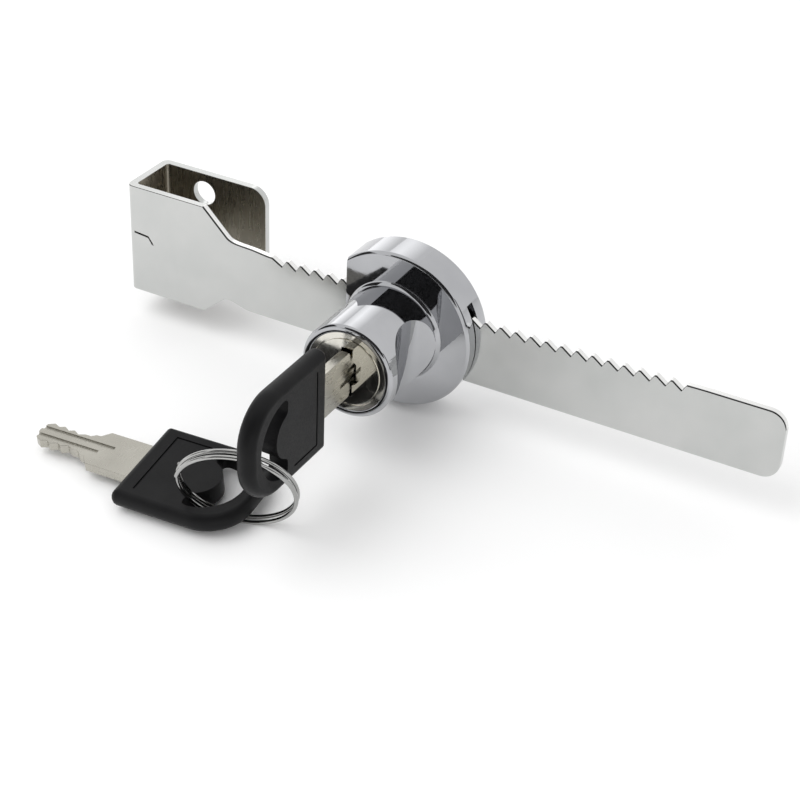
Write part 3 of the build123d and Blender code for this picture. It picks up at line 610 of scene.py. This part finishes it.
bm = bmesh.new()
bmesh.ops.create_grid(bm, x_segments=1, y_segments=1, size=FLOOR_HALF_W)
for vert in bm.verts:
    vert.co.z = FLOOR_Z + FLOOR_TILT * vert.co.y
floor_mesh = finished(bm, "table_top")
floor_mesh.materials.append(floor_material())
table_top = bpy.data.objects.new("table_top", floor_mesh)
bpy.context.scene.collection.objects.link(table_top)
print("floor at", round(FLOOR_Z, 4))

# %% [markdown]
# ## Reflection cards
# Chrome has no colour of its own: in an all-white room it would vanish. A photographer sets dark
# and bright cards round the object, and their reflections draw its shape. These cards are seen
# only in reflections, so they cast no shadow and stay out of every view.

# %% Reflection cards


def card_material(name, level):
    material, nodes, links = new_material(name)
    shader = nodes["Principled BSDF"]
    shader.inputs["Roughness"].default_value = 0.9
    cloud = object_noise(nodes, links, (1, 1, 1), 8)
    links.new(tint(nodes, links, cloud.outputs["Fac"], (level, level, level),
                   (level * 1.2, level * 1.2, level * 1.25)), shader.inputs["Base Color"])
    return material


def bright_card_material(name, centre, reach, strength):
    """A glow that is strongest at the centre and fades to the room's white at reach."""
    material, nodes, links = new_material(name)
    shader = nodes["Principled BSDF"]
    shader.inputs["Base Color"].default_value = (0, 0, 0, 1)
    shader.inputs["Emission Color"].default_value = (1, 1, 1, 1)
    here = nodes.new("ShaderNodeTexCoord")
    away = nodes.new("ShaderNodeVectorMath")
    away.operation = "DISTANCE"
    away.inputs[1].default_value = centre
    links.new(here.outputs["Object"], away.inputs[0])
    glow = nodes.new("ShaderNodeMapRange")
    glow.inputs["From Max"].default_value = reach
    glow.inputs["To Min"].default_value = strength
    glow.inputs["To Max"].default_value = 1.0
    links.new(away.outputs["Value"], glow.inputs["Value"])
    links.new(glow.outputs["Result"], shader.inputs["Emission Strength"])
    return material


card_black = card_material("card_black", 0.02)
card_grey = card_material("card_grey", 0.12)


def card(name, centre, width, height, look):
    """A flat card at centre that faces the lock."""
    bm = bmesh.new()
    bmesh.ops.create_grid(bm, x_segments=1, y_segments=1, size=0.5)
    bmesh.ops.scale(bm, vec=(width, height, 1), verts=bm.verts)
    turn = (-Vector(centre)).to_track_quat("Z", "Y").to_matrix().to_4x4()
    bmesh.ops.transform(bm, matrix=Matrix.Translation(centre) @ turn, verts=bm.verts)
    mesh = finished(bm, name)
    mesh.materials.append(look)
    board = bpy.data.objects.new(name, mesh)
    bpy.context.scene.collection.objects.link(board)
    board.visible_camera = False
    board.visible_diffuse = False
    board.visible_shadow = False
    return board


BACKDROP_C, CEILING_C = (-0.42, 0.44, 0.07), (-0.27, 0.48, 0.35)
backdrop_glow = bright_card_material("backdrop_glow", BACKDROP_C, 0.20, 1.9)
ceiling_glow = bright_card_material("ceiling_glow", CEILING_C, 0.20, 1.9)
cards = (("card_right", (0.45, -0.10, 0.12), 0.30, 0.30, card_grey),
         ("card_front", (-0.05, -0.55, 0.05), 0.50, 0.16, card_black),
         ("card_left", (-0.50, -0.20, 0.20), 0.25, 0.30, card_black),
         ("card_camera", (0.10, -0.48, 0.38), 0.95, 0.46, card_black),
         ("card_backdrop", BACKDROP_C, 0.40, 0.40, backdrop_glow),
         ("card_ceiling", CEILING_C, 0.44, 0.40, ceiling_glow))
for name, centre, width, height, look in cards:
    card(name, centre, width, height, look)
print("cards:", len(cards))

# %% [markdown]
# ## Light
# One large soft lamp stands high on the left and gives the table its soft shadows. The white world
# fills the rest. Camera, glossy and transmission rays see pure white, so the background is white
# and the metal mirrors it.

# %% World and lamp
world = bpy.data.worlds.new("white_room")
bpy.context.scene.world = world
world.use_nodes = True
nodes, links = world.node_tree.nodes, world.node_tree.links
room = nodes["Background"]
room.inputs["Color"].default_value = (1, 1, 1, 1)
path = nodes.new("ShaderNodeLightPath")
seen = nodes.new("ShaderNodeMath")
seen.operation = "MAXIMUM"
seen_all = nodes.new("ShaderNodeMath")
seen_all.operation = "MAXIMUM"
links.new(path.outputs["Is Camera Ray"], seen.inputs[0])
links.new(path.outputs["Is Glossy Ray"], seen.inputs[1])
links.new(seen.outputs[0], seen_all.inputs[0])
links.new(path.outputs["Is Transmission Ray"], seen_all.inputs[1])
level = nodes.new("ShaderNodeMapRange")
level.inputs["To Min"].default_value = 0.84
level.inputs["To Max"].default_value = 1.0
links.new(seen_all.outputs[0], level.inputs["Value"])
links.new(level.outputs["Result"], room.inputs["Strength"])

LAMP_PLACE, LAMP_W, LAMP_H, LAMP_WATTS = Vector((-0.33, -0.26, 0.56)), 0.7, 0.6, 2.4
lamp_data = bpy.data.lights.new("softbox", "AREA")
lamp_data.shape = "RECTANGLE"
lamp_data.size = LAMP_W
lamp_data.size_y = LAMP_H
lamp_data.energy = LAMP_WATTS
lamp = bpy.data.objects.new("softbox", lamp_data)
bpy.context.scene.collection.objects.link(lamp)
lamp.location = LAMP_PLACE
lamp.visible_glossy = False
lamp.rotation_euler = (-LAMP_PLACE).to_track_quat("-Z", "Y").to_euler()
print("lamp energy", lamp_data.energy)

# %% [markdown]
# ## Camera
# The view was fitted to the photo: from the right, the front and above, with a moderate
# telephoto lens. The turn is one vector: its direction is the axis and its length the angle.

# %% Camera
CAMERA_PLACE = Vector((137.44, -267.88, 176.95)) * MM
VIEW_TURN = Vector((2.086, 0.558, -0.252))
to_view = Quaternion(VIEW_TURN.normalized(), VIEW_TURN.length).to_matrix()
flip = Matrix(((1, 0, 0), (0, -1, 0), (0, 0, -1)))
camera_data = bpy.data.cameras.new("photo_camera")
camera_data.lens = 83.93
camera_data.sensor_width = 36
camera_data.clip_start = 0.01
camera = bpy.data.objects.new("photo_camera", camera_data)
bpy.context.scene.collection.objects.link(camera)
camera.matrix_world = (Matrix.Translation(CAMERA_PLACE)
                       @ (to_view.transposed() @ flip).to_4x4())
bpy.context.scene.camera = camera
bpy.context.scene.view_settings.view_transform = "Standard"
print("camera at", tuple(round(v, 3) for v in camera.location))
